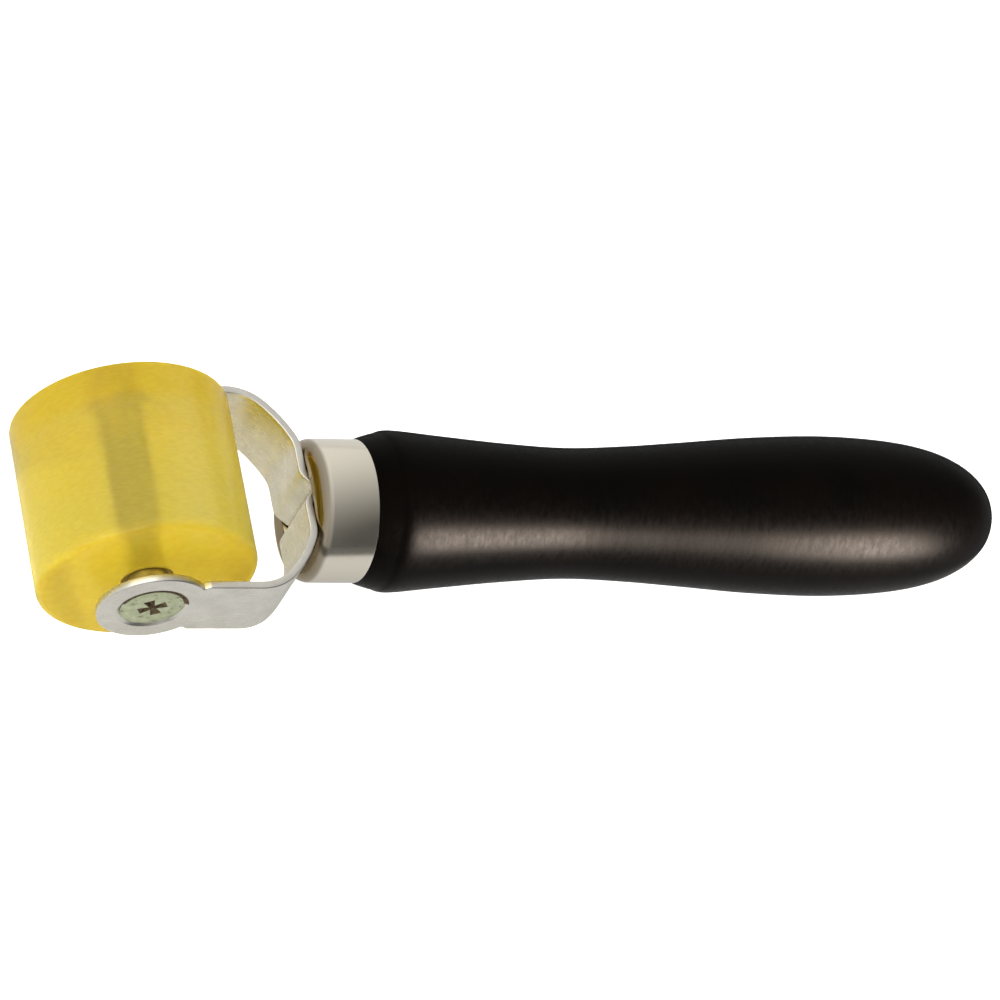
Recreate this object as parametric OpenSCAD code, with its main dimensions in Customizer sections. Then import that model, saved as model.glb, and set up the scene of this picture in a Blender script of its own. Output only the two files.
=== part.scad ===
// Small hand roller for pressing and inking. A soft tyre on a steel core turns on
// a bolt between the two stamped halves of a yoke, whose tails are pinned into a
// turned handle behind a drawn ferrule.
// The origin is the point under the roller's axis where the yoke's middle plane
// meets the work. +X runs along the handle and +Y along the roller's axis.

/* [Roller] */
// Outer diameter of the tyre
tyre_d = 38.1; // [34:0.1:38.4]
// Length of the tyre
tyre_l = 32.2; // [26:0.1:32.6]
// Rounding of the tyre's edges
tyre_edge = 1.2; // [0.4:0.1:3]
// How far the tyre stands off the yoke's middle, within its end play
tyre_shift = 1.3; // [0:0.1:1.3]
// Diameter of the steel core
core_d = 7; // [7:0.1:8]
// Length of the core
core_l = 33.6; // [33:0.1:34]
// Diameter of the retaining washers
washer_d = 9; // [8.6:0.1:14]
// Thickness of the retaining washers
washer_t = 0.9; // [0.6:0.1:1.2]
// How far the washers lie below the tyre's ends
washer_sink = 0.6; // [0:0.1:1]

/* [Axle bolt] */
// Diameter of the barrel that the core turns on
barrel_d = 6; // [5.5:0.1:6]
// Radial running clearance between the barrel and the core
running_gap = 0.05; // [0.02:0.01:0.1]
// Thread diameter of the screw
screw_d = 4; // [3:0.5:4]
// Outer diameter of the flat heads
head_d = 11.8; // [10.8:0.1:12]

/* [Yoke] */
// Width across the outsides of the arms
yoke_w = 40; // [40:0.1:42]
// Thickness of the steel strip
strip_t = 1.4; // [1.2:0.1:1.4]
// Width of the steel strip
strip_w = 14.4; // [12:0.1:15]
// Diameter of the round ears
ear_d = 19.3; // [17:0.1:21]
// Distance from the roller's axis to the outside of the yoke's back
yoke_reach = 29.6; // [29.4:0.1:32]
// Radius on the outside of the shoulder bend
shoulder_r = 9.2; // [8:0.1:10]
// Radius of the gentle sweep between the shoulder and the corner
sweep_r = 24; // [20:0.5:26]
// Radius on the outside of the corner into the back
corner_r = 7.2; // [6:0.1:8]
// Length of each tail
tail_l = 34; // [28:0.5:50]

/* [Ferrule] */
// Outer diameter of the ferrule
ferrule_d = 25; // [24.6:0.1:26]
// Length of the ferrule
ferrule_l = 10.9; // [9.5:0.1:14]
// Wall thickness of the ferrule
ferrule_t = 0.8; // [0.6:0.1:1]
// Rounding of the ferrule's front edge
ferrule_edge = 2.6; // [1.5:0.1:2.8]

/* [Handle] */
// How far the handle's axis lies below the roller's
handle_drop = 1; // [0:0.1:1.2]
// Length of the handle behind the ferrule
handle_l = 125; // [110:1:140]
// Largest radius of the grip
grip_r = 14.45; // [14.3:0.05:16]
// Radius of the swelling next to the ferrule
bead_r = 14.15; // [13.6:0.05:14.6]
// Radius at the waist
waist_r = 11.6; // [11:0.05:12.5]
// Diameter of the pin through the tails
pin_d = 3; // [2:0.5:3]

/* [Hidden] */
$fn = 96;

slack = 0.02; // gap between pieces that are pressed or clamped together
cut = 0.5; // how far a cutter runs past the face that it opens
half_w = yoke_w / 2;
axis_z = tyre_d / 2;
handle_z = axis_z - handle_drop;

// The countersunk seat runs right through the ear, and the flat head fills it.
seat_slope = tan(60);
seat_d = head_d + 0.5;
head_sink = (seat_d - head_d) / 2 / seat_slope - slack;
head_t = strip_t - head_sink - slack;
head_y = half_w - head_sink - head_t; // underside of either head
head_inner_d = head_d - 2 * head_t * seat_slope;
cross_span = 0.42 * head_d;
cross_slot = 1.1;
cross_depth = 0.9;
thread_l = 12;
thread_hole_l = 14;

// One yoke half in plan is a straight arm, three curves that turn it round the
// shoulder into the flat back, and two bends the other way that tuck it into the
// tail. Each curve is given as its angle and its radius on the outside.
curves = [[45, shoulder_r], [20, sweep_r], [25, corner_r]];
headings = [0, 45, 65, 90];
arm_l = yoke_reach - total([for (i = [0:2]) curves[i][1] * (sin(headings[i + 1]) - sin(headings[i]))]);
curves_y = total([for (i = [0:2]) curves[i][1] * (cos(headings[i]) - cos(headings[i + 1]))]);
bend_steps = 8;
tuck_r = 2;
tuck_flat = 1.4;
tail_y = strip_t / 2 + slack;
tuck_y = tail_y + tuck_r + tuck_flat / sqrt(2); // where the back bends into the tuck
back_flat = half_w - curves_y - tuck_y;
tail_x = yoke_reach - strip_t / 2 + tuck_r + tuck_flat / sqrt(2);
yoke_steps = concat([[arm_l, 0]], [for (c = curves) each bend(-c[0], c[1] - strip_t / 2)],
                    [[back_flat, 0]], bend(45, tuck_r), [[tuck_flat, 0]], bend(45, tuck_r),
                    [[tail_l, 0]]);

ferrule_x = yoke_reach + slack;
slot_w = 2 * tuck_y + 0.2;
slot_h = strip_w + 0.6;
tenon_x = ferrule_x + 4.4; // the wood starts behind the tucked halves
tenon_r = ferrule_d / 2 - ferrule_t - slack;
handle_x = ferrule_x + ferrule_l + slack;
pocket_w = 2 * strip_t + 0.14;
pocket_h = strip_w + 0.1;
pocket_end = tail_x + tail_l + 1;
pin_x = (tenon_x + handle_x) / 2;
pin_l = 2 * tenon_r - 1;

// Stations of the handle's outline as a share of its length and a radius.
grip_stations = [[0, ferrule_d / 2], [0.01, 0.7 * ferrule_d / 2 + 0.3 * bead_r],
                 [0.029, 0.3 * ferrule_d / 2 + 0.7 * bead_r], [0.052, bead_r],
                 [0.127, 0.66 * bead_r + 0.34 * waist_r], [0.222, 0.25 * bead_r + 0.75 * waist_r],
                 [0.318, waist_r], [0.413, 0.16 * grip_r + 0.84 * waist_r],
                 [0.508, 0.48 * grip_r + 0.52 * waist_r], [0.603, 0.82 * grip_r + 0.18 * waist_r],
                 [0.698, grip_r], [0.77, 0.99 * grip_r], [0.835, 0.945 * grip_r],
                 [0.885, 0.87 * grip_r], [0.925, 0.76 * grip_r], [0.96, 0.595 * grip_r],
                 [0.986, 0.36 * grip_r], [1, 0]];
station_steps = 5;

// Sum of a list.
function total(list, i = 0) = i == len(list) ? 0 : list[i] + total(list, i + 1);

// Points on a circle in the plane of an outline.
function arc(centre, r, from, to, steps) =
    [for (i = [0:steps]) let (a = from + (to - from) * i / steps) centre + r * [cos(a), sin(a)]];

// One bend as short chords, each with the turn that it makes.
function bend(angle, r) =
    [for (i = [1:bend_steps]) [2 * r * sin(abs(angle) / bend_steps / 2), angle / bend_steps]];

// Follow the steps from one place to the next: x, y and heading.
function walk(steps, at, i = 0) = i == len(steps) ? [at] :
    let (a = at[2] + steps[i][1] / 2)
    concat([at], walk(steps, [at[0] + steps[i][0] * cos(a), at[1] + steps[i][0] * sin(a),
                              at[2] + steps[i][1]], i + 1));

// A place moved sideways from the line that it lies on.
function beside(at, d) = [at[0] - d * sin(at[2]), at[1] + d * cos(at[2])];

// Smooth curve through p1 and p2, led in from p0 and out to p3.
function between(p0, p1, p2, p3, t) =
    0.5 * (2 * p1 + (p2 - p0) * t + (2 * p0 - 5 * p1 + 4 * p2 - p3) * t * t
           + (3 * p1 - p0 - 3 * p2 + p3) * t * t * t);

// The handle's outline as radius and distance from the ferrule. The tip's
// mirrored neighbour leads the curve out, so that the end is round.
function grip_curve() =
    let (s = [for (p = grip_stations) [p[1], p[0] * handle_l]],
         last = len(s) - 1,
         ends = concat([2 * s[0] - s[1]], s, [[-s[last - 1][0], s[last - 1][1]]]))
    concat([for (i = [0:last - 1], k = [0:station_steps - 1])
                between(ends[i], ends[i + 1], ends[i + 2], ends[i + 3], k / station_steps)],
           [s[last]]);

module along_y(y) translate([0, y, axis_z]) rotate([-90, 0, 0]) children();

module along_x(x) translate([x, 0, handle_z]) rotate([0, 90, 0]) children();

module tube(outer_d, inner_d, l) difference() {
    cylinder(d = outer_d, h = l);
    translate([0, 0, -cut]) cylinder(d = inner_d, h = l + 2 * cut);
}

module roller_tyre() color("goldenrod") along_y(tyre_shift) difference() {
    rotate_extrude() polygon(concat(
        [[0, -tyre_l / 2]],
        arc([tyre_d / 2 - tyre_edge, tyre_edge - tyre_l / 2], tyre_edge, -90, 0, 8),
        arc([tyre_d / 2 - tyre_edge, tyre_l / 2 - tyre_edge], tyre_edge, 0, 90, 8),
        [[0, tyre_l / 2]]));
    translate([0, 0, -tyre_l]) cylinder(d = core_d + 2 * slack, h = 2 * tyre_l);
    for (side = [-1, 1])
        translate([0, 0, side * (tyre_l / 2 - washer_seat() / 2 + cut / 2)])
            cylinder(d = washer_d + 0.5, h = washer_seat() + cut, center = true);
}

// Depth of the recess in each end of the tyre.
function washer_seat() = washer_t + washer_sink + slack;

module roller_core() color("darkgray") along_y(tyre_shift - core_l / 2)
    tube(core_d, barrel_d + 2 * running_gap, core_l);

module washer() tube(washer_d, core_d + 2 * slack, washer_t);

module washer_near() color("saddlebrown")
    along_y(tyre_shift - tyre_l / 2 + washer_sink) washer();

module washer_far() color("saddlebrown")
    along_y(tyre_shift + tyre_l / 2 - washer_sink - washer_t) washer();

// Flat countersunk head, its underside at the origin, with a cross recess.
module head() difference() {
    cylinder(d1 = head_inner_d, d2 = head_d, h = head_t);
    for (turn = [0, 90]) rotate([0, 0, turn + 30])
        translate([-cross_span / 2, -cross_slot / 2, head_t - cross_depth])
            cube([cross_span, cross_slot, cross_depth + cut]);
}

module axle_barrel() color("silver") {
    along_y(head_y) head();
    along_y(slack - head_y) difference() {
        cylinder(d = barrel_d, h = 2 * head_y - slack);
        translate([0, 0, -cut]) cylinder(d = screw_d + 2 * slack, h = thread_hole_l + cut);
    }
}

module axle_screw() color("silver") mirror([0, 1, 0]) {
    along_y(head_y) head();
    along_y(head_y - thread_l) cylinder(d = screw_d, h = thread_l);
}

module strip_plan() {
    places = walk(yoke_steps, [0, half_w - strip_t / 2, 0]);
    polygon(concat([for (p = places) beside(p, strip_t / 2)],
                   [for (i = [len(places) - 1:-1:0]) beside(places[i], -strip_t / 2)]));
}

// The half on the +Y side.
module yoke_half() difference() {
    union() {
        translate([0, 0, axis_z - strip_w / 2]) linear_extrude(strip_w) strip_plan();
        along_y(half_w - strip_t) cylinder(d = ear_d, h = strip_t);
    }
    along_y(half_w - strip_t - cut)
        cylinder(d1 = seat_d - 2 * (strip_t + cut) * seat_slope, d2 = seat_d + 2 * cut * seat_slope,
                 h = strip_t + 2 * cut);
    translate([pin_x, 0, 0]) along_y(-cut) cylinder(d = pin_d + 2 * slack, h = strip_t + 2 * cut);
}

module yoke_far() color("gainsboro") yoke_half();

module yoke_near() color("gainsboro") mirror([0, 1, 0]) yoke_half();

module ferrule() color("lightgray") difference() {
    along_x(ferrule_x) rotate_extrude() polygon(concat(
        [[0, 0]],
        arc([ferrule_d / 2 - ferrule_edge, ferrule_edge], ferrule_edge, -90, 0, 8),
        [[ferrule_d / 2, ferrule_l], [ferrule_d / 2 - ferrule_t, ferrule_l]],
        arc([ferrule_d / 2 - ferrule_edge, ferrule_edge], ferrule_edge - ferrule_t, 0, -90, 8),
        [[0, ferrule_t]]));
    translate([ferrule_x - cut, -slot_w / 2, axis_z - slot_h / 2])
        cube([ferrule_t + 2 * cut, slot_w, slot_h]);
}

module tail_pin() color("dimgray")
    translate([pin_x, 0, 0]) along_y(-pin_l / 2) cylinder(d = pin_d, h = pin_l);

module handle() color("black") difference() {
    union() {
        along_x(tenon_x) cylinder(r = tenon_r, h = handle_x - tenon_x + 1);
        along_x(handle_x) rotate_extrude() polygon(concat([[0, 0]], grip_curve()));
    }
    translate([tenon_x - cut, -pocket_w / 2, axis_z - pocket_h / 2])
        cube([pocket_end - tenon_x + cut, pocket_w, pocket_h]);
    translate([pin_x, 0, 0]) along_y(-tenon_r - cut)
        cylinder(d = pin_d + 2 * slack, h = 2 * (tenon_r + cut));
}

roller_tyre();
roller_core();
washer_near();
washer_far();
axle_barrel();
axle_screw();
yoke_near();
yoke_far();
ferrule();
tail_pin();
handle();
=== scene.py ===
"""Small hand roller: a translucent amber tyre in a nickelled yoke on a black lacquered handle.

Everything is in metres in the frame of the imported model: +X runs along the handle, +Y along
the roller's axis, and the origin is under the roller's axis on the work.
"""
import math

import bmesh
import bpy
from mathutils import Matrix, Vector


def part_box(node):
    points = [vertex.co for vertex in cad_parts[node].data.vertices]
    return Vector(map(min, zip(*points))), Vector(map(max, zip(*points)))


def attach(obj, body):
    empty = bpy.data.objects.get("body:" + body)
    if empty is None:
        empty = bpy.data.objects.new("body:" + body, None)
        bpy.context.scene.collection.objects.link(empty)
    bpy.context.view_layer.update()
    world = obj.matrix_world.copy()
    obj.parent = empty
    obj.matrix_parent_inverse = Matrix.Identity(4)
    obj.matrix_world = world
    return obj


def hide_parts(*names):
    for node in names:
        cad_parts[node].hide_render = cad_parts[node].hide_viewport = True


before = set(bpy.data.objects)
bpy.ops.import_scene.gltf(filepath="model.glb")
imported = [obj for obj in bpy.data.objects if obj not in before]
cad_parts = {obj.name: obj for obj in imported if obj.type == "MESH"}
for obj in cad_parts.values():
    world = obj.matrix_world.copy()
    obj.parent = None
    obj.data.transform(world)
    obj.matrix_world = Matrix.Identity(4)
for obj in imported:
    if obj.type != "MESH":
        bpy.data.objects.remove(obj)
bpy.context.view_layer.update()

MM = 0.001
TURN = 2 * math.pi

# Sizes that the frame gives.
tyre_low, tyre_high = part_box("roller_tyre")
core_low, core_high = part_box("roller_core")
washer_low, washer_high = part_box("washer_near")
barrel_low, barrel_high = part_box("axle_barrel")
screw_low, screw_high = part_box("axle_screw")
yoke_low, yoke_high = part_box("yoke_far")
ferrule_low, ferrule_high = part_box("ferrule")
handle_low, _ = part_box("handle")

axis_z = (tyre_low.z + tyre_high.z) / 2
handle_z = (ferrule_low.z + ferrule_high.z) / 2
tyre_r = (tyre_high.z - tyre_low.z) / 2
core_r = (core_high.z - core_low.z) / 2
washer_r = (washer_high.z - washer_low.z) / 2
head_r = (barrel_high.z - barrel_low.z) / 2
ear_r = (yoke_high.z - yoke_low.z) / 2
ferrule_r = (ferrule_high.z - ferrule_low.z) / 2
half_width = yoke_high.y
head_face = barrel_high.y

# Sizes of the roller's own details.
near_edge = 1.5 * MM
far_edge = 0.6 * MM  # the end that was cut, not moulded
bore_gap = 0.02 * MM
recess_r = washer_r + 0.25 * MM
recess_depth = 1.52 * MM
core_bore_r = 3.05 * MM

# Sizes of the bolt.
barrel_r = 3.0 * MM
shank_r = 2.0 * MM
thread_hole_l = 14 * MM
head_t = 1.256 * MM
head_slope = math.tan(math.radians(60))
rim_ease = 0.55 * MM
rim_drop = 0.16 * MM
cross_half_span = 2.48 * MM
cross_half_slot = 0.4 * MM
cross_flare = 0.24  # how fast a worn wing widens outwards
cross_depth = 0.9 * MM
cross_turn = math.radians(30)
thread_pitch = 0.7 * MM
thread_depth = 0.3 * MM
shadowed_from = 0.2  # share of its radius above which a rim or a seat is painted with shadow

# Sizes of the yoke's strip, which is straight, goes round the shoulder in three
# curves, crosses the back and tucks into the tail in two bends the other way.
strip_t = 1.4 * MM
strip_half = 7.2 * MM
strip_round = 0.2 * MM
seat_outer_r = 6.15 * MM
seat_inner_r = seat_outer_r - strip_t * head_slope
shoulder_curves = ((45, 9.2 * MM), (20, 24 * MM), (25, 7.2 * MM))  # angle, outside radius
tuck_r = 2 * MM
tuck_flat = 1.4 * MM
clearance = 0.02 * MM
yoke_reach = ferrule_low.x - clearance
ear_end = 10 * MM  # where the ear's mesh hands over to the strip's
nick_at = 7.6 * MM  # small nick left by the press where the ear runs into the arm
nick_w = 1.2 * MM
nick_depth = 0.65 * MM  # shallow, so that every ray from the hole crosses the outline once

# Sizes of the ferrule and the handle.
ferrule_t = 0.8 * MM
ferrule_edge = 2.6 * MM
slot_half_y = 3.81 * MM
slot_half_z = 7.5 * MM
handle_x = ferrule_high.x + clearance
tenon_x = handle_low.x
tenon_r = ferrule_r - ferrule_t - clearance
pocket_half_y = strip_t + 0.07 * MM
pocket_half_z = strip_half + 0.05 * MM
pocket_end = yoke_high.x + 1 * MM


# ---------------------------------------------------------------- mesh code

def finished(name, bm, sharp=40):
    """Turns a bmesh into a smooth-shaded object, with edges sharper than sharp degrees kept."""
    bmesh.ops.remove_doubles(bm, verts=bm.verts, dist=1e-7)
    bmesh.ops.dissolve_degenerate(bm, edges=bm.edges, dist=1e-8)
    bmesh.ops.recalc_face_normals(bm, faces=bm.faces)
    mesh = bpy.data.meshes.new(name)
    bm.to_mesh(mesh)
    bm.free()
    mesh.polygons.foreach_set("use_smooth", [True] * len(mesh.polygons))
    mesh.set_sharp_from_angle(angle=math.radians(sharp))
    piece = bpy.data.objects.new(name, mesh)
    bpy.context.scene.collection.objects.link(piece)
    return piece


def add_skin(bm, rings, closed=False, paint=lambda band, i: 0):
    """Faces between neighbouring rings of points. paint gives each face's material index."""
    rows = [[bm.verts.new(point) for point in ring] for ring in rings]
    following = rows[1:] + rows[:1] if closed else rows[1:]
    for band, (near, far) in enumerate(zip(rows, following)):
        for i in range(len(near)):
            k = (i + 1) % len(near)
            face = bm.faces.new((near[i], near[k], far[k], far[i]))
            face.material_index = paint(band, i)
    return rows


def about_y(radius, along, angle):
    """A point at that radius and angle about the roller's axis."""
    return Vector((radius * math.cos(angle), along, axis_z + radius * math.sin(angle)))


def about_x(radius, along, angle):
    """A point at that radius and angle about the handle's axis."""
    return Vector((along, radius * math.cos(angle), handle_z + radius * math.sin(angle)))


def around(count, corners=()):
    """Angles of one turn, with extra ones at an outline's corners."""
    angles = sorted([TURN * i / count for i in range(count)] + [a % TURN for a in corners])
    return [a for a, after in zip(angles, angles[1:] + [TURN]) if after - a > 1e-4 or a in corners]


def turned(name, outline, place, closed=False, angles=None, paint=lambda band, angle: 0):
    """A turned piece from an outline of (radius, along). A radius may be a function of the angle."""
    bm = bmesh.new()
    angles = angles or around(144)
    rings = [[place(r(a) if callable(r) else r, along, a) for a in angles] for r, along in outline]
    add_skin(bm, rings, closed, lambda band, i: paint(band, angles[i]))
    return finished(name, bm)


def rounded(corners, closed=False, steps=6):
    """An outline through (radius, along, fillet) corners, each eased by its fillet."""
    outline = []
    for i, (radius, along, fillet) in enumerate(corners):
        here = Vector((radius, along))
        if fillet == 0 or not closed and i in (0, len(corners) - 1):
            outline.append((radius, along))
            continue
        back = (Vector(corners[i - 1][:2]) - here).normalized()
        ahead = (Vector(corners[(i + 1) % len(corners)][:2]) - here).normalized()
        half = back.angle(ahead) / 2
        centre = here + (back + ahead).normalized() * fillet / math.sin(half)
        start = here + back * fillet / math.tan(half) - centre
        end = here + ahead * fillet / math.tan(half) - centre
        sweep = start.angle_signed(end)
        for step in range(steps + 1):
            arm = start.copy()
            arm.rotate(Matrix.Rotation(-sweep * step / steps, 2))
            outline.append(tuple(centre + arm))
    return outline


def smooth_line(points, steps):
    """A Catmull-Rom curve through points."""
    ends = [points[0] * 2 - points[1], *points, points[-1] * 2 - points[-2]]
    line = []
    for p0, p1, p2, p3 in zip(ends, ends[1:], ends[2:], ends[3:]):
        for step in range(steps):
            t = step / steps
            line.append(0.5 * (2 * p1 + (p2 - p0) * t + (2 * p0 - 5 * p1 + 4 * p2 - p3) * t ** 2
                               + (3 * p1 - p0 - 3 * p2 + p3) * t ** 3))
    return [*line, points[-1]]


# ---------------------------------------------------------------- materials

def new_material(name, inputs):
    """A material of one Principled shader with these input values."""
    material = bpy.data.materials.new(name)
    material.use_nodes = True
    shader = material.node_tree.nodes["Principled BSDF"]
    for key, value in inputs.items():
        shader.inputs[key].default_value = value
    return material, shader


def node(material, kind, inputs=None, **settings):
    """Adds a node. An input is a value, or a socket to link to it."""
    tree = material.node_tree
    made = tree.nodes.new(kind)
    for key, value in settings.items():
        setattr(made, key, value)
    for key, value in (inputs or {}).items():
        if isinstance(value, bpy.types.NodeSocket):
            tree.links.new(value, made.inputs[key])
        else:
            made.inputs[key].default_value = value
    return made


def grain(material, stretch, scale, detail=4.0, roughness=0.6):
    """Noise over the piece, with each axis stretched. Returns its socket from 0 to 1."""
    where = node(material, "ShaderNodeTexCoord").outputs["Object"]
    place = node(material, "ShaderNodeMapping", {"Vector": where, "Scale": stretch})
    made = node(material, "ShaderNodeTexNoise", {
        "Vector": place.outputs["Vector"], "Scale": scale, "Detail": detail,
        "Roughness": roughness})
    return made.outputs["Fac"]


def spread(material, source, low, high, from_low=0.3, from_high=0.7):
    """Maps a socket onto the range from low to high, and holds it there past the ends."""
    made = node(material, "ShaderNodeMapRange", {
        "Value": source, "From Min": from_low, "From Max": from_high,
        "To Min": low, "To Max": high})
    return made.outputs["Result"]


def shades(material, source, *stops):
    """Colours along a socket, as (position, colour) stops."""
    made = node(material, "ShaderNodeValToRGB", {"Fac": source})
    elements = made.color_ramp.elements
    while len(elements) < len(stops):
        elements.new(0.5)
    for element, (position, colour) in zip(elements, stops):
        element.position = position
        element.color = (*colour, 1)
    return made.outputs["Color"]


def relief(material, shader, source, depth, strength=1.0):
    """Bump of that depth in metres from a noise socket."""
    bump = node(material, "ShaderNodeBump", {
        "Height": source, "Distance": depth, "Strength": strength})
    material.node_tree.links.new(bump.outputs["Normal"], shader.inputs["Normal"])


def link(material, source, shader, key):
    """Feeds a shader's input from a socket."""
    material.node_tree.links.new(source, shader.inputs[key])


def amber_rubber():
    """Milky ground rubber: the core shows through it as a soft shadow, and lamps reach in.

    Its rolling face is a hazy, lighter amber; the far end and the near end face are painted a deeper
    amber, as painted shade for how dark the rubber looks there.
    """
    material, shader = new_material("amber_rubber", {
        "IOR": 1.22, "Transmission Weight": 0.62, "Subsurface Weight": 1.0,
        "Subsurface Radius": (1.0, 0.7, 0.12), "Subsurface Scale": 4 * MM})
    ground = grain(material, (1, 3.5, 1), 700, 3.0)
    hazy = shades(material, ground, (0.35, (0.485, 0.42, 0.085)), (0.65, (0.525, 0.465, 0.108)))
    # Painted shade: this deeper amber goes on the far end and the near end face.
    clear = shades(material, ground, (0.35, (0.515, 0.418, 0.042)), (0.65, (0.555, 0.452, 0.058)))
    where = node(material, "ShaderNodeTexCoord").outputs["Object"]
    along = node(material, "ShaderNodeSeparateXYZ", {"Vector": where}).outputs["Y"]
    far_part = spread(material, along, 0.0, 1.0, tyre_high.y - 8 * MM, tyre_high.y - 5 * MM)
    near_face = spread(material, along, 1.0, 0.0, tyre_low.y, tyre_low.y + 0.8 * MM)
    painted_shade_at_ends = node(material, "ShaderNodeMath", {0: far_part, 1: near_face}, operation="MAXIMUM")
    colour = node(material, "ShaderNodeMix", {0: painted_shade_at_ends.outputs["Value"], 6: hazy, 7: clear},
                  data_type="RGBA")
    link(material, colour.outputs[2], shader, "Base Color")
    link(material, spread(material, ground, 0.235, 0.265), shader, "Roughness")
    volume = node(material, "ShaderNodeVolumeAbsorption", {
        "Color": (0.97, 0.94, 0.25, 1), "Density": 24})
    output = material.node_tree.nodes["Material Output"]
    material.node_tree.links.new(volume.outputs["Volume"], output.inputs["Volume"])
    lamp_ray = node(material, "ShaderNodeLightPath").outputs["Is Shadow Ray"]
    open_way = node(material, "ShaderNodeBsdfTransparent", {"Color": (0.85, 0.8, 0.4, 1)})
    through = node(material, "ShaderNodeMixShader", {
        0: lamp_ray, 1: shader.outputs["BSDF"], 2: open_way.outputs["BSDF"]})
    material.node_tree.links.new(through.outputs["Shader"], output.inputs["Surface"])
    return material


def core_steel():
    """Dark, oiled steel with faint tool marks, partly darkened as painted shade so that it shows
    through the tyre, and painted lighter towards its ends as painted light.
    """
    material, shader = new_material("core_steel", {
        "Base Color": (0.11, 0.12, 0.10, 1), "Metallic": 1.0, "Roughness": 0.4})
    where = node(material, "ShaderNodeTexCoord").outputs["Object"]
    along = node(material, "ShaderNodeSeparateXYZ", {"Vector": where}).outputs["Y"]
    from_middle = node(material, "ShaderNodeMath", {0: along}, operation="ABSOLUTE")
    # Painted light: the steel is lighter towards both ends of the sleeve.
    painted_light_at_ends = spread(material, from_middle.outputs["Value"], 0.0, 1.0, 5 * MM, 15 * MM)
    link(material, shades(material, painted_light_at_ends, (0.0, (0.11, 0.12, 0.10)),
                          (1.0, (0.38, 0.40, 0.28))), shader, "Base Color")
    marks = grain(material, (1, 8, 1), 700, 2.0)
    link(material, spread(material, marks, 0.32, 0.5), shader, "Roughness")
    relief(material, shader, marks, 0.01 * MM)
    return material


def dull_brass():
    """Washer brass gone brown in patches."""
    material, shader = new_material("dull_brass", {"Metallic": 0.5, "Roughness": 0.42})
    patches = grain(material, (1, 1, 1), 500, 4.0)
    link(material, shades(material, patches, (0.35, (0.33, 0.25, 0.08)), (0.65, (0.44, 0.35, 0.14))),
         shader, "Base Color")
    link(material, spread(material, patches, 0.34, 0.5), shader, "Roughness")
    relief(material, shader, patches, 0.01 * MM)
    return material


def nickel_strip():
    """Satin nickel plate on stamped steel, rolled along the strip, with faint handling marks."""
    material, shader = new_material("nickel_strip", {
        "Base Color": (0.76, 0.74, 0.69, 1), "Metallic": 1.0, "Roughness": 0.3})
    clouds = grain(material, (1, 1, 1), 220, 5.0, 0.65)
    link(material, shades(material, clouds, (0.3, (0.66, 0.64, 0.58)), (0.7, (0.80, 0.78, 0.72))),
         shader, "Base Color")
    rolled = grain(material, (1, 1, 9), 260, 5.0, 0.7)
    link(material, spread(material, rolled, 0.24, 0.36), shader, "Roughness")
    relief(material, shader, rolled, 0.006 * MM, 0.5)
    return material


def polished_nickel():
    """Bright drawn ferrule with hairlines round it, its front painted darker and browner as painted
    shade and a painted reflection of the roller.
    """
    material, shader = new_material("polished_nickel", {
        "Base Color": (0.77, 0.72, 0.61, 1), "Metallic": 1.0, "Roughness": 0.16})
    hairlines = grain(material, (9, 1, 1), 420, 4.0, 0.7)
    link(material, spread(material, hairlines, 0.12, 0.22), shader, "Roughness")
    normal = node(material, "ShaderNodeNewGeometry").outputs["Normal"]
    along = node(material, "ShaderNodeSeparateXYZ", {"Vector": normal}).outputs["X"]
    # Painted shade and painted reflection: darker and browner where the surface faces forward.
    painted_front_shade = spread(material, along, 1.0, 0.0, -0.9, -0.1)
    link(material, shades(material, painted_front_shade, (0.0, (0.77, 0.72, 0.61)),
                          (0.3, (0.36, 0.32, 0.25)), (1.0, (0.24, 0.18, 0.10))), shader, "Base Color")
    relief(material, shader, hairlines, 0.004 * MM, 0.6)
    return material


def zinc_plate():
    """Yellow-green passivated zinc, stained in patches."""
    material, shader = new_material("zinc_plate", {"Metallic": 0.8, "Roughness": 0.4})
    stains = grain(material, (1, 1, 1), 650, 4.0, 0.6)
    link(material, shades(material, stains, (0.32, (0.26, 0.25, 0.14)), (0.42, (0.48, 0.52, 0.33)),
                          (0.7, (0.66, 0.71, 0.50))), shader, "Base Color")
    link(material, spread(material, stains, 0.3, 0.5), shader, "Roughness")
    relief(material, shader, stains, 0.02 * MM, 0.5)
    return material


def recess_dark_and_shadow():
    """Dark brown for the bottom of a driver recess, also used as painted shadow on the upper rims of
    the heads and the upper part of the ear seats.
    """
    material, shader = new_material("recess_dark_and_shadow", {"Metallic": 0.6, "Roughness": 0.6})
    dirt = grain(material, (1, 1, 1), 1500, 3.0)
    link(material, shades(material, dirt, (0.35, (0.10, 0.07, 0.035)), (0.65, (0.24, 0.18, 0.10))),
         shader, "Base Color")
    return material


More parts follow.
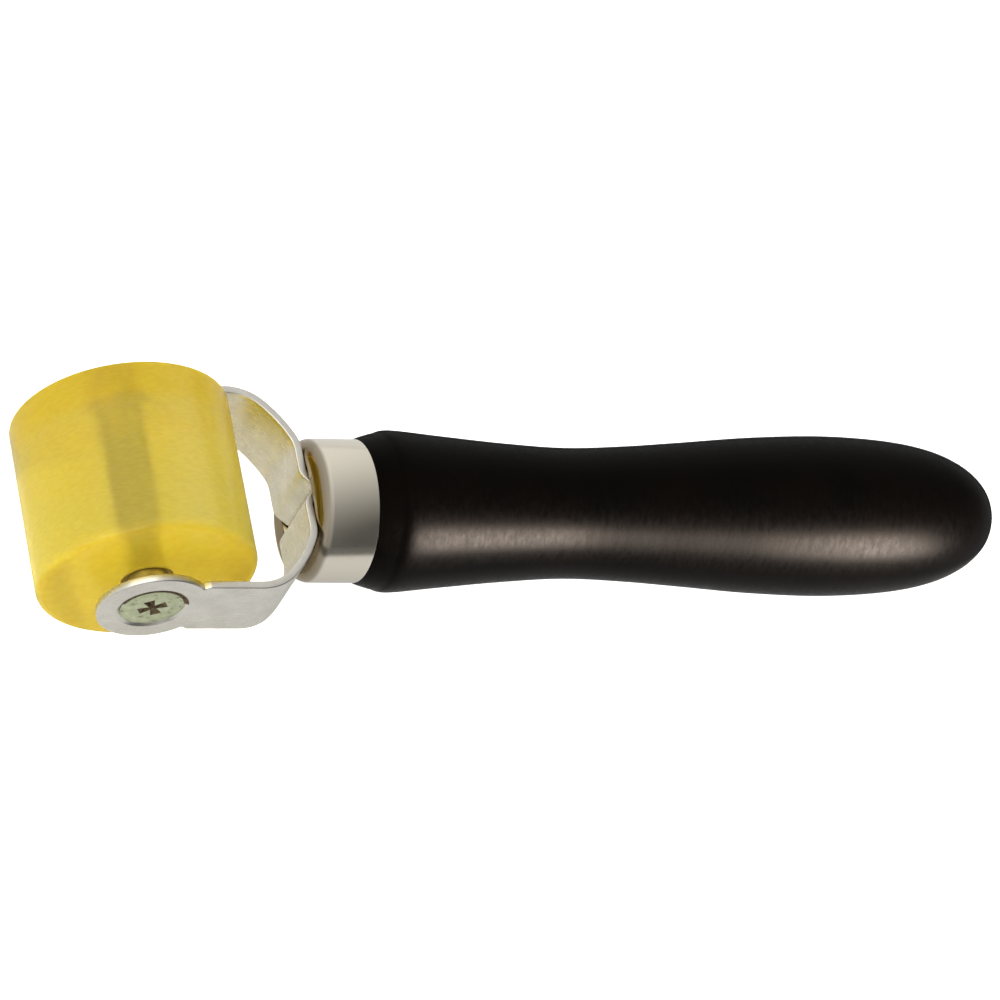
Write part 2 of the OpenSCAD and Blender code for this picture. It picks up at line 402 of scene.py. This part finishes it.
def black_lacquer():
    """Satin black lacquer over turned wood, finely sanded, with a warm gloss."""
    material, shader = new_material("black_lacquer", {
        "Base Color": (0.0006, 0.0005, 0.0005, 1), "Roughness": 0.34, "IOR": 1.4,
        "Specular IOR Level": 0.06, "Specular Tint": (1.0, 0.78, 0.62, 1)})
    lines = grain(material, (2.5, 1, 1), 520, 6.0, 0.75)
    link(material, spread(material, lines, 0.27, 0.43), shader, "Roughness")
    tint = grain(material, (1, 1, 1), 60, 3.0)
    link(material, shades(material, tint, (0.3, (0.0004, 0.0004, 0.0004)),
                          (0.7, (0.0009, 0.0006, 0.0005))), shader, "Base Color")
    edge_on = node(material, "ShaderNodeLayerWeight").outputs["Facing"]
    normal = node(material, "ShaderNodeNewGeometry").outputs["Normal"]
    upward = node(material, "ShaderNodeSeparateXYZ", {"Vector": normal}).outputs["Z"]
    upper_edge = node(material, "ShaderNodeMath", {
        0: edge_on, 1: spread(material, upward, 0.0, 1.0, -0.2, 0.2)}, operation="MULTIPLY")
    link(material, spread(material, upper_edge.outputs["Value"], 0.06, 0.004, 0.35, 0.8),
         shader, "Specular IOR Level")
    relief(material, shader, lines, 0.03 * MM, 0.5)
    return material


def dressed(piece, body, slot, nodes, *materials):
    """Gives a piece its materials and its body, and hides the CAD nodes that it stands for. slot is not
    used.
    """
    for material in materials:
        piece.data.materials.append(material)
    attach(piece, body)
    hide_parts(*nodes)
    return piece


# ---------------------------------------------------------------- the roller

def make_tyre():
    """Tyre with rounded edges, its bore and a recess for the washer in each end."""
    bore_r = core_r + bore_gap
    half = [(bore_r, recess_depth, 0.1 * MM), (recess_r, recess_depth, 0.12 * MM),
            (recess_r, 0, 0.3 * MM)]
    near = [(r, tyre_low.y + along, fillet) for r, along, fillet in half]
    far = [(r, tyre_high.y - along, fillet) for r, along, fillet in reversed(half)]
    edges = [(tyre_r, tyre_low.y, near_edge), (tyre_r, tyre_high.y, far_edge)]
    outline = rounded(near + edges + far, closed=True, steps=8)
    return turned("tyre", outline, about_y, closed=True, angles=around(192))


def make_core():
    """Steel sleeve with eased ends, gone brown where it stands out of the washers."""
    ease = 0.18 * MM
    far_washer_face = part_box("washer_far")[1].y
    corners = [(core_bore_r, core_low.y, ease), (core_r, core_low.y, ease),
               (core_r, washer_low.y, 0), (core_r, far_washer_face, 0),
               (core_r, core_high.y, ease), (core_bore_r, core_high.y, ease)]
    outline = rounded(corners, closed=True)
    between_washers = outline.index((core_r, washer_low.y))
    inside = (between_washers, len(outline) - 1)
    return turned("core_sleeve", outline, about_y, closed=True,
                  paint=lambda band, angle: 0 if band in inside else 1)


def make_washer(name, cad_node):
    """Stamped washer, rolled over on one side."""
    low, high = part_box(cad_node)
    bore_r = core_r + bore_gap
    corners = [(bore_r, low.y, 0.08 * MM), (washer_r, low.y, 0.3 * MM),
               (washer_r, high.y, 0.12 * MM), (bore_r, high.y, 0.08 * MM)]
    return turned(name, rounded(corners, closed=True), about_y, closed=True)


# ---------------------------------------------------------------- the bolt

def cross(scale):
    """Radius of the driver cross at an angle, its wings scaled."""
    def radius(angle):
        off_wing = abs((angle - cross_turn + TURN / 8) % (TURN / 4) - TURN / 8)
        side = cross_half_slot / max(math.sin(off_wing) - cross_flare * math.cos(off_wing), 1e-6)
        return scale * min(cross_half_span / math.cos(off_wing), side)
    return radius


def cross_corners():
    """Angles of the cross's corners."""
    tip = math.atan2(cross_half_slot + cross_flare * cross_half_span, cross_half_span)
    wings = [cross_turn + TURN / 4 * i for i in range(4)]
    return [w + t for w in wings for t in (-tip, tip, TURN / 8)]


def head_outline(face, underside, out):
    """Countersunk head from its recess to its underside. out is +1 where along grows outwards."""
    inner_r = head_r - head_t * head_slope
    rim = [(head_r * 0.6, face), (head_r - rim_ease, face),
           (head_r - rim_drop * head_slope, face - out * rim_drop), (inner_r, underside)]
    return [(0, face - out * cross_depth), (cross(0.35), face - out * cross_depth),
            (cross(0.88), face - out * 0.12 * MM), (cross(1.0), face - out * 0.02 * MM),
            (cross(1.06), face), (head_r * 0.55, face), *rim]


def head_paint(band, angle):
    """Dark brown in the recess, and painted shadow along the upper part of the rim."""
    return 1 if band < 3 or band in (7, 8) and math.sin(angle) > shadowed_from else 0


def make_barrel():
    """Far head and the barrel that the core turns on, drilled for the screw."""
    face = head_face
    outline = head_outline(face, face - head_t, 1)
    end = barrel_low.y
    outline += rounded([(barrel_r, face - head_t, 0), (barrel_r, end, 0.2 * MM),
                        (shank_r + bore_gap, end, 0.2 * MM),
                        (shank_r + bore_gap, end + thread_hole_l, 0),
                        (0, end + thread_hole_l, 0)])
    return turned("axle_bolt", outline, about_y, angles=around(96, cross_corners()),
                  paint=head_paint)


def make_screw():
    """Near head and its shank, cut with a thread."""
    face = screw_low.y
    underside = face + head_t
    outline = head_outline(face, underside, -1)
    outline.append((shank_r, underside + 0.3 * MM))
    root_r = shank_r - thread_depth
    along = underside + thread_pitch
    while along < screw_high.y - thread_pitch:
        outline += [(root_r, along), (shank_r, along + thread_pitch / 2)]
        along += thread_pitch
    outline += [(root_r, screw_high.y), (0, screw_high.y)]
    return turned("axle_screw_head", outline, about_y, angles=around(96, cross_corners()),
                  paint=head_paint)


# ---------------------------------------------------------------- the yoke

def strip_path():
    """Places along the middle of the far half's strip from the ear's end: x, y and heading."""
    eighth = math.radians(45)
    tail_y = strip_t / 2 + clearance
    tuck_y = tail_y + tuck_r + tuck_flat / math.sqrt(2)
    tail_x = yoke_reach - strip_t / 2 + tuck_r + tuck_flat / math.sqrt(2)
    arm_l, back_flat = yoke_reach, half_width - tuck_y
    shoulder, turned_by = [], 0.0
    for degrees, radius in shoulder_curves:
        after = turned_by + math.radians(degrees)
        arm_l -= radius * (math.sin(after) - math.sin(turned_by))
        back_flat -= radius * (math.cos(turned_by) - math.cos(after))
        shoulder.append(("bend", turned_by - after, radius - strip_t / 2))
        turned_by = after
    runs = [("line", arm_l - ear_end, 4), *shoulder, ("line", back_flat, 3),
            ("bend", eighth, tuck_r), ("line", tuck_flat, 2), ("bend", eighth, tuck_r),
            ("line", yoke_high.x - tail_x, 8)]
    x, y, heading = ear_end, half_width - strip_t / 2, 0.0
    places = [(x, y, heading)]
    for kind, amount, extra in runs:
        steps = 16 if kind == "bend" else extra
        for _ in range(steps):
            turn = amount / steps if kind == "bend" else 0
            chord = 2 * extra * math.sin(abs(turn) / 2) if kind == "bend" else amount / steps
            x += chord * math.cos(heading + turn / 2)
            y += chord * math.sin(heading + turn / 2)
            heading += turn
            places.append((x, y, heading))
    return places


def ear_outline(inset):
    """Outline of ear and arm in the flat as (along, up) points, drawn in by inset."""
    half = strip_half - inset
    radius = ear_r - inset
    chord_steps, neck_steps, ear_steps = 14, 6, 96
    points = [(ear_end, half * (2 * i / chord_steps - 1)) for i in range(chord_steps + 1)]
    start = nick_at + nick_w / 2
    points += [(ear_end + (start - ear_end) * i / neck_steps, half)
               for i in range(1, neck_steps + 1)]
    deepest = nick_at - 0.2 * nick_w
    points.append((deepest, half - nick_depth))
    first = math.acos((nick_at - nick_w / 2) / radius)
    for i in range(ear_steps + 1):
        angle = first + (TURN - 2 * first) * i / ear_steps
        points.append((radius * math.cos(angle), radius * math.sin(angle)))
    points.append((deepest, nick_depth - half))
    points += [(start + (ear_end - start) * i / neck_steps, -half)
               for i in range(neck_steps)]
    return points, chord_steps


def rim_steps(count=5):
    """(inset, depth) pairs round the strip's outer edge, then its inner edge."""
    outer = []
    for i in range(count + 1):
        angle = math.radians(90) * i / count
        outer.append((strip_round * (1 - math.sin(angle)), strip_round * (1 - math.cos(angle))))
    inner = [(inset, strip_t - depth) for inset, depth in reversed(outer)]
    return outer + inner


def make_yoke_half(name, side):
    """One stamped half: a countersunk ear, the arm and its bends, and the tail. side is +1 or -1."""
    def place(along, up, depth, at=None):
        x, y, heading = at or (along, half_width - strip_t / 2, 0.0)
        out = strip_t / 2 - depth
        return Vector((x - out * math.sin(heading), side * (y + out * math.cos(heading)),
                       axis_z + up))

    bm = bmesh.new()
    drawn_in, chord_steps = ear_outline(strip_round)
    seat = 0.08 * MM
    outwards = (0, 0.25, 0.6, 0.95, 1)  # rows of a flat face, as shares of the way to the rim
    rows = []
    for hole_r, depth, shares in ((seat_outer_r, 0, outwards),
                                  (seat_inner_r, strip_t, outwards[::-1])):
        for share in shares:
            ring = []
            for along, up in drawn_in:
                away = math.hypot(along, up)
                radius = hole_r + seat + (away - hole_r - seat) * share
                ring.append((along * radius / away, up * radius / away, depth))
            rows.append(ring)
    outer_rows, inner_rows = rows[:len(outwards)], rows[len(outwards):]
    rims = [[(along, up, depth) for along, up in ear_outline(inset)[0]]
            for inset, depth in rim_steps()]
    seats = []
    for radius, depth in ((seat_inner_r, strip_t - seat), (seat_outer_r, seat)):
        seats.append([(along * radius / math.hypot(along, up), up * radius / math.hypot(along, up),
                       depth) for along, up in drawn_in])
    rings = outer_rows + rims[1:-1] + inner_rows + seats
    first_rim, last_rim = len(outer_rows) - 1, len(outer_rows) + len(rims) - 3
    corners = [[bm.verts.new(place(*point)) for point in ring] for ring in rings]
    count = len(drawn_in)
    for row in range(len(corners)):
        after = (row + 1) % len(corners)
        for i in range(count):
            if first_rim <= row <= last_rim and i < chord_steps:
                continue  # open where the strip goes on
            k = (i + 1) % count
            face = bm.faces.new((corners[row][i], corners[row][k],
                                 corners[after][k], corners[after][i]))
            # Painted shadow: the upper part of the seat takes the dark recess material.
            in_seat = row >= len(corners) - 2
            face.material_index = 1 if in_seat and drawn_in[i][1] > shadowed_from * ear_r else 0

    section = [(up, 0) for _, up in drawn_in[:chord_steps + 1]]
    edge = [(strip_half - inset, depth) for inset, depth in rim_steps()]
    section += edge[1:-1]
    section += [(up, strip_t) for up, _ in reversed(section[:chord_steps + 1])]
    section += [(-up, depth) for up, depth in reversed(edge[1:-1])]
    path = strip_path()
    strip = [[place(0, up, depth, at) for up, depth in section] for at in path]
    last = add_skin(bm, strip)[-1]
    bm.faces.new(last)
    return finished(name, bm)


# ---------------------------------------------------------------- ferrule and handle

def oblong(half_y, half_z):
    """Radius at an angle about the handle's axis of a rectangle centred on the yoke."""
    def radius(angle):
        end = half_z + (axis_z - handle_z) * (1 if math.sin(angle) > 0 else -1)
        return min(half_y / max(abs(math.cos(angle)), 1e-6), end / max(abs(math.sin(angle)), 1e-6))
    return radius


def oblong_corners(half_y, half_z):
    """Angles of the rectangle's corners."""
    upper = math.atan2(half_z + axis_z - handle_z, half_y)
    lower = math.atan2(half_z - axis_z + handle_z, half_y)
    return [upper, TURN / 2 - upper, -lower, TURN / 2 + lower]


def make_ferrule():
    """Drawn cup with a rounded front edge and an oblong slot for the yoke's tails."""
    front, back = ferrule_low.x, ferrule_high.x
    wall_r = ferrule_r - ferrule_t
    skin = rounded([(slot_half_z + 2 * MM, front, 0), (ferrule_r, front, ferrule_edge),
                    (ferrule_r, back, 0.15 * MM), (wall_r, back, 0.1 * MM),
                    (wall_r, front + ferrule_t, ferrule_edge - ferrule_t),
                    (slot_half_z + 2 * MM, front + ferrule_t, 0)], steps=10)
    ease = 0.12 * MM
    lip = [(oblong(slot_half_y, slot_half_z), front + ferrule_t),
           (oblong(slot_half_y, slot_half_z), front + ease),
           (oblong(slot_half_y + ease, slot_half_z + ease), front)]
    return turned("ferrule_cup", lip + skin, about_x, closed=True,
                  angles=around(192, oblong_corners(slot_half_y, slot_half_z)))


def grip_outline():
    """The grip's outline as (radius, along), read from the CAD handle and smoothed."""
    widest = {}
    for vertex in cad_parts["handle"].data.vertices:
        x, y, z = vertex.co
        radius = math.hypot(y, z - handle_z)
        in_pocket = x < pocket_end + MM and radius < pocket_half_z + 2 * MM
        if x > handle_x - 0.01 * MM and not in_pocket:
            key = round(x / (0.02 * MM))
            widest[key] = max(widest.get(key, (0, 0)), (radius, x))
    points = [Vector(widest[key]) for key in sorted(widest)]
    return [tuple(point) for point in smooth_line(points, 3)]


def make_handle():
    """Turned handle with its tenon and the pocket for the tails."""
    pocket = oblong(pocket_half_y, pocket_half_z)
    outline = [(0, pocket_end), (pocket, pocket_end), (pocket, tenon_x), (tenon_r, tenon_x),
               (tenon_r, handle_x), *grip_outline()]
    return turned("grip", outline, about_x,
                  angles=around(160, oblong_corners(pocket_half_y, pocket_half_z)))


# ---------------------------------------------------------------- stage

def make_camera():
    """Long lens from above the near side, turned so that the handle lies level."""
    azimuth, elevation, roll = (math.radians(a) for a in (-40.57, 52.48, 34.87))
    aim = Vector((66.84, 0.33, 21.9)) * MM
    distance = 875.9 * MM
    away = Vector((math.sin(azimuth) * math.cos(elevation),
                   -math.cos(azimuth) * math.cos(elevation), math.sin(elevation)))
    level = Vector((math.cos(azimuth), math.sin(azimuth), 0))
    right = level * math.cos(roll) + away.cross(level) * math.sin(roll)
    data = bpy.data.cameras.new("camera")
    data.sensor_width = 36
    data.lens = 180
    camera = bpy.data.objects.new("camera", data)
    turn = Matrix((right, away.cross(right), away)).transposed().to_4x4()
    camera.matrix_world = Matrix.Translation(aim + away * distance) @ turn
    bpy.context.scene.collection.objects.link(camera)
    bpy.context.scene.camera = camera


def make_floor():
    """Pale table that the tyre and the grip both touch. Metal sees a painted reflection of it: a
    smaller, greyer sheet, darker beyond the near side.
    """
    grip_r, grip_at = max((r, along) for r, along in grip_outline())
    slope = math.asin((tyre_r - axis_z + handle_z - grip_r) / grip_at)
    bm = bmesh.new()
    bmesh.ops.create_circle(bm, cap_ends=True, segments=96, radius=1.6)
    drop = Matrix.Translation((0, 0, axis_z)) @ Matrix.Rotation(-slope, 4, "Y")
    bmesh.ops.transform(bm, matrix=drop @ Matrix.Translation((0, 0, -tyre_r)), verts=bm.verts)
    floor = finished("floor", bm)
    material, shader = new_material("table", {"Roughness": 0.7, "Specular IOR Level": 0.2})
    where = node(material, "ShaderNodeTexCoord").outputs["Object"]
    across = node(material, "ShaderNodeSeparateXYZ", {"Vector": where}).outputs["Y"]
    # Painted reflection: glossy rays see the table as a grey sheet, darker beyond the near side.
    sheet = node(material, "ShaderNodeMapRange", {
        "Value": across, "From Min": -0.10, "From Max": -0.07, "To Min": 0.06, "To Max": 0.36})
    rays = node(material, "ShaderNodeLightPath").outputs
    straight = node(material, "ShaderNodeMath", {0: 1.0, 1: rays["Is Transmission Ray"]},
                    operation="SUBTRACT")
    mirrored = node(material, "ShaderNodeMath", {
        0: rays["Is Glossy Ray"], 1: straight.outputs["Value"]}, operation="MULTIPLY")
    seen = node(material, "ShaderNodeMix", {0: rays["Is Camera Ray"], 2: 0.62, 3: 0.93})
    shade = node(material, "ShaderNodeMix", {
        0: mirrored.outputs["Value"], 2: seen.outputs[0], 3: sheet.outputs["Result"]}).outputs[0]
    link(material, shade, shader, "Base Color")
    floor.data.materials.append(material)
    return floor


def make_light(name, size, watts, place, aim, only_on=(), colour=(1, 1, 1)):
    """Rectangular soft box facing its aim. only_on limits its light and shadows to some objects."""
    data = bpy.data.lights.new(name, "AREA")
    data.shape = "RECTANGLE"
    data.size, data.size_y = size
    data.energy = watts
    data.color = colour
    light = bpy.data.objects.new(name, data)
    light.location = place
    light.rotation_euler = (Vector(aim) - Vector(place)).to_track_quat("-Z", "Y").to_euler()
    bpy.context.scene.collection.objects.link(light)
    if only_on:
        receivers = bpy.data.collections.new(name + "_receivers")
        for piece in only_on:
            receivers.objects.link(piece)
        light.light_linking.receiver_collection = receivers
        light.light_linking.blocker_collection = receivers


def make_world():
    """Pale room, bright on the roller's side and dim beyond the near side of the handle."""
    world = bpy.data.worlds.new("room")
    world.use_nodes = True
    tree = world.node_tree
    where = tree.nodes.new("ShaderNodeTexCoord")
    towards = tree.nodes.new("ShaderNodeVectorMath")
    towards.operation = "DOT_PRODUCT"
    towards.inputs[1].default_value = (-0.9, 0.45, 0.0)
    level = tree.nodes.new("ShaderNodeMapRange")
    level.inputs["From Min"].default_value = -0.72
    level.inputs["From Max"].default_value = 0.1
    level.inputs["To Min"].default_value = 0.1
    level.inputs["To Max"].default_value = 0.9
    background = tree.nodes["Background"]
    background.inputs["Color"].default_value = (1.0, 0.99, 0.97, 1)
    tree.links.new(where.outputs["Generated"], towards.inputs[0])
    tree.links.new(towards.outputs["Value"], level.inputs["Value"])
    tree.links.new(level.outputs["Result"], background.inputs["Strength"])
    bpy.context.scene.world = world
    bpy.context.scene.view_settings.view_transform = "Standard"


def main():
    steel, zinc, recess_and_shadow, nickel = core_steel(), zinc_plate(), recess_dark_and_shadow(), nickel_strip()
    brass = dull_brass()
    tyre = dressed(make_tyre(), "roller", "tyre_rubber", ["roller_tyre"], amber_rubber())
    dressed(make_core(), "roller", "core_steel", ["roller_core"], steel, brass)
    dressed(make_washer("washer_near_ring", "washer_near"), "roller", "washer_brass",
            ["washer_near"], brass)
    dressed(make_washer("washer_far_ring", "washer_far"), "roller", "washer_brass",
            ["washer_far"], brass)
    dressed(make_barrel(), "frame", "zinc_screw", ["axle_barrel"], zinc, recess_and_shadow)
    dressed(make_screw(), "frame", "zinc_screw", ["axle_screw"], zinc, recess_and_shadow)
    dressed(make_yoke_half("yoke_half_far", 1), "frame", "nickel_strip", ["yoke_far"],
            nickel, recess_and_shadow)
    dressed(make_yoke_half("yoke_half_near", -1), "frame", "nickel_strip", ["yoke_near"],
            nickel, recess_and_shadow)
    ferrule = dressed(make_ferrule(), "frame", "ferrule_chrome", ["ferrule"], polished_nickel())
    grip = dressed(make_handle(), "frame", "black_lacquer", ["handle"], black_lacquer())
    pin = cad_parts["tail_pin"]
    pin.data.materials.clear()
    pin.data.materials.append(steel)
    make_camera()
    floor = make_floor()
    make_world()
    middle = Vector((0.06, 0, axis_z))
    sky_lit = [thing for thing in bpy.context.scene.collection.objects
               if thing.type == "MESH" and thing not in (ferrule, grip)]
    make_light("sky", (0.9, 0.9), 2.6, Vector((-0.45, 0.1, 0.75)), middle, sky_lit)
    make_light("strip", (0.16, 0.24), 17.5, middle + Vector((0.31, -0.40, 0.11)), middle, [grip])
    make_light("end_fill", (0.5, 0.5), 5.5, Vector((-0.3, -0.55, 0.25)), middle * 0.2, [tyre],
               (1.0, 0.85, 0.6))
    make_light("side_fill", (0.6, 0.6), 3, Vector((0.45, 0.1, 0.5)), middle * 0.2, [tyre])
    make_light("wash", (2.4, 2.4), 52, Vector((0.06, 0, 1.5)), middle, [floor])


main()
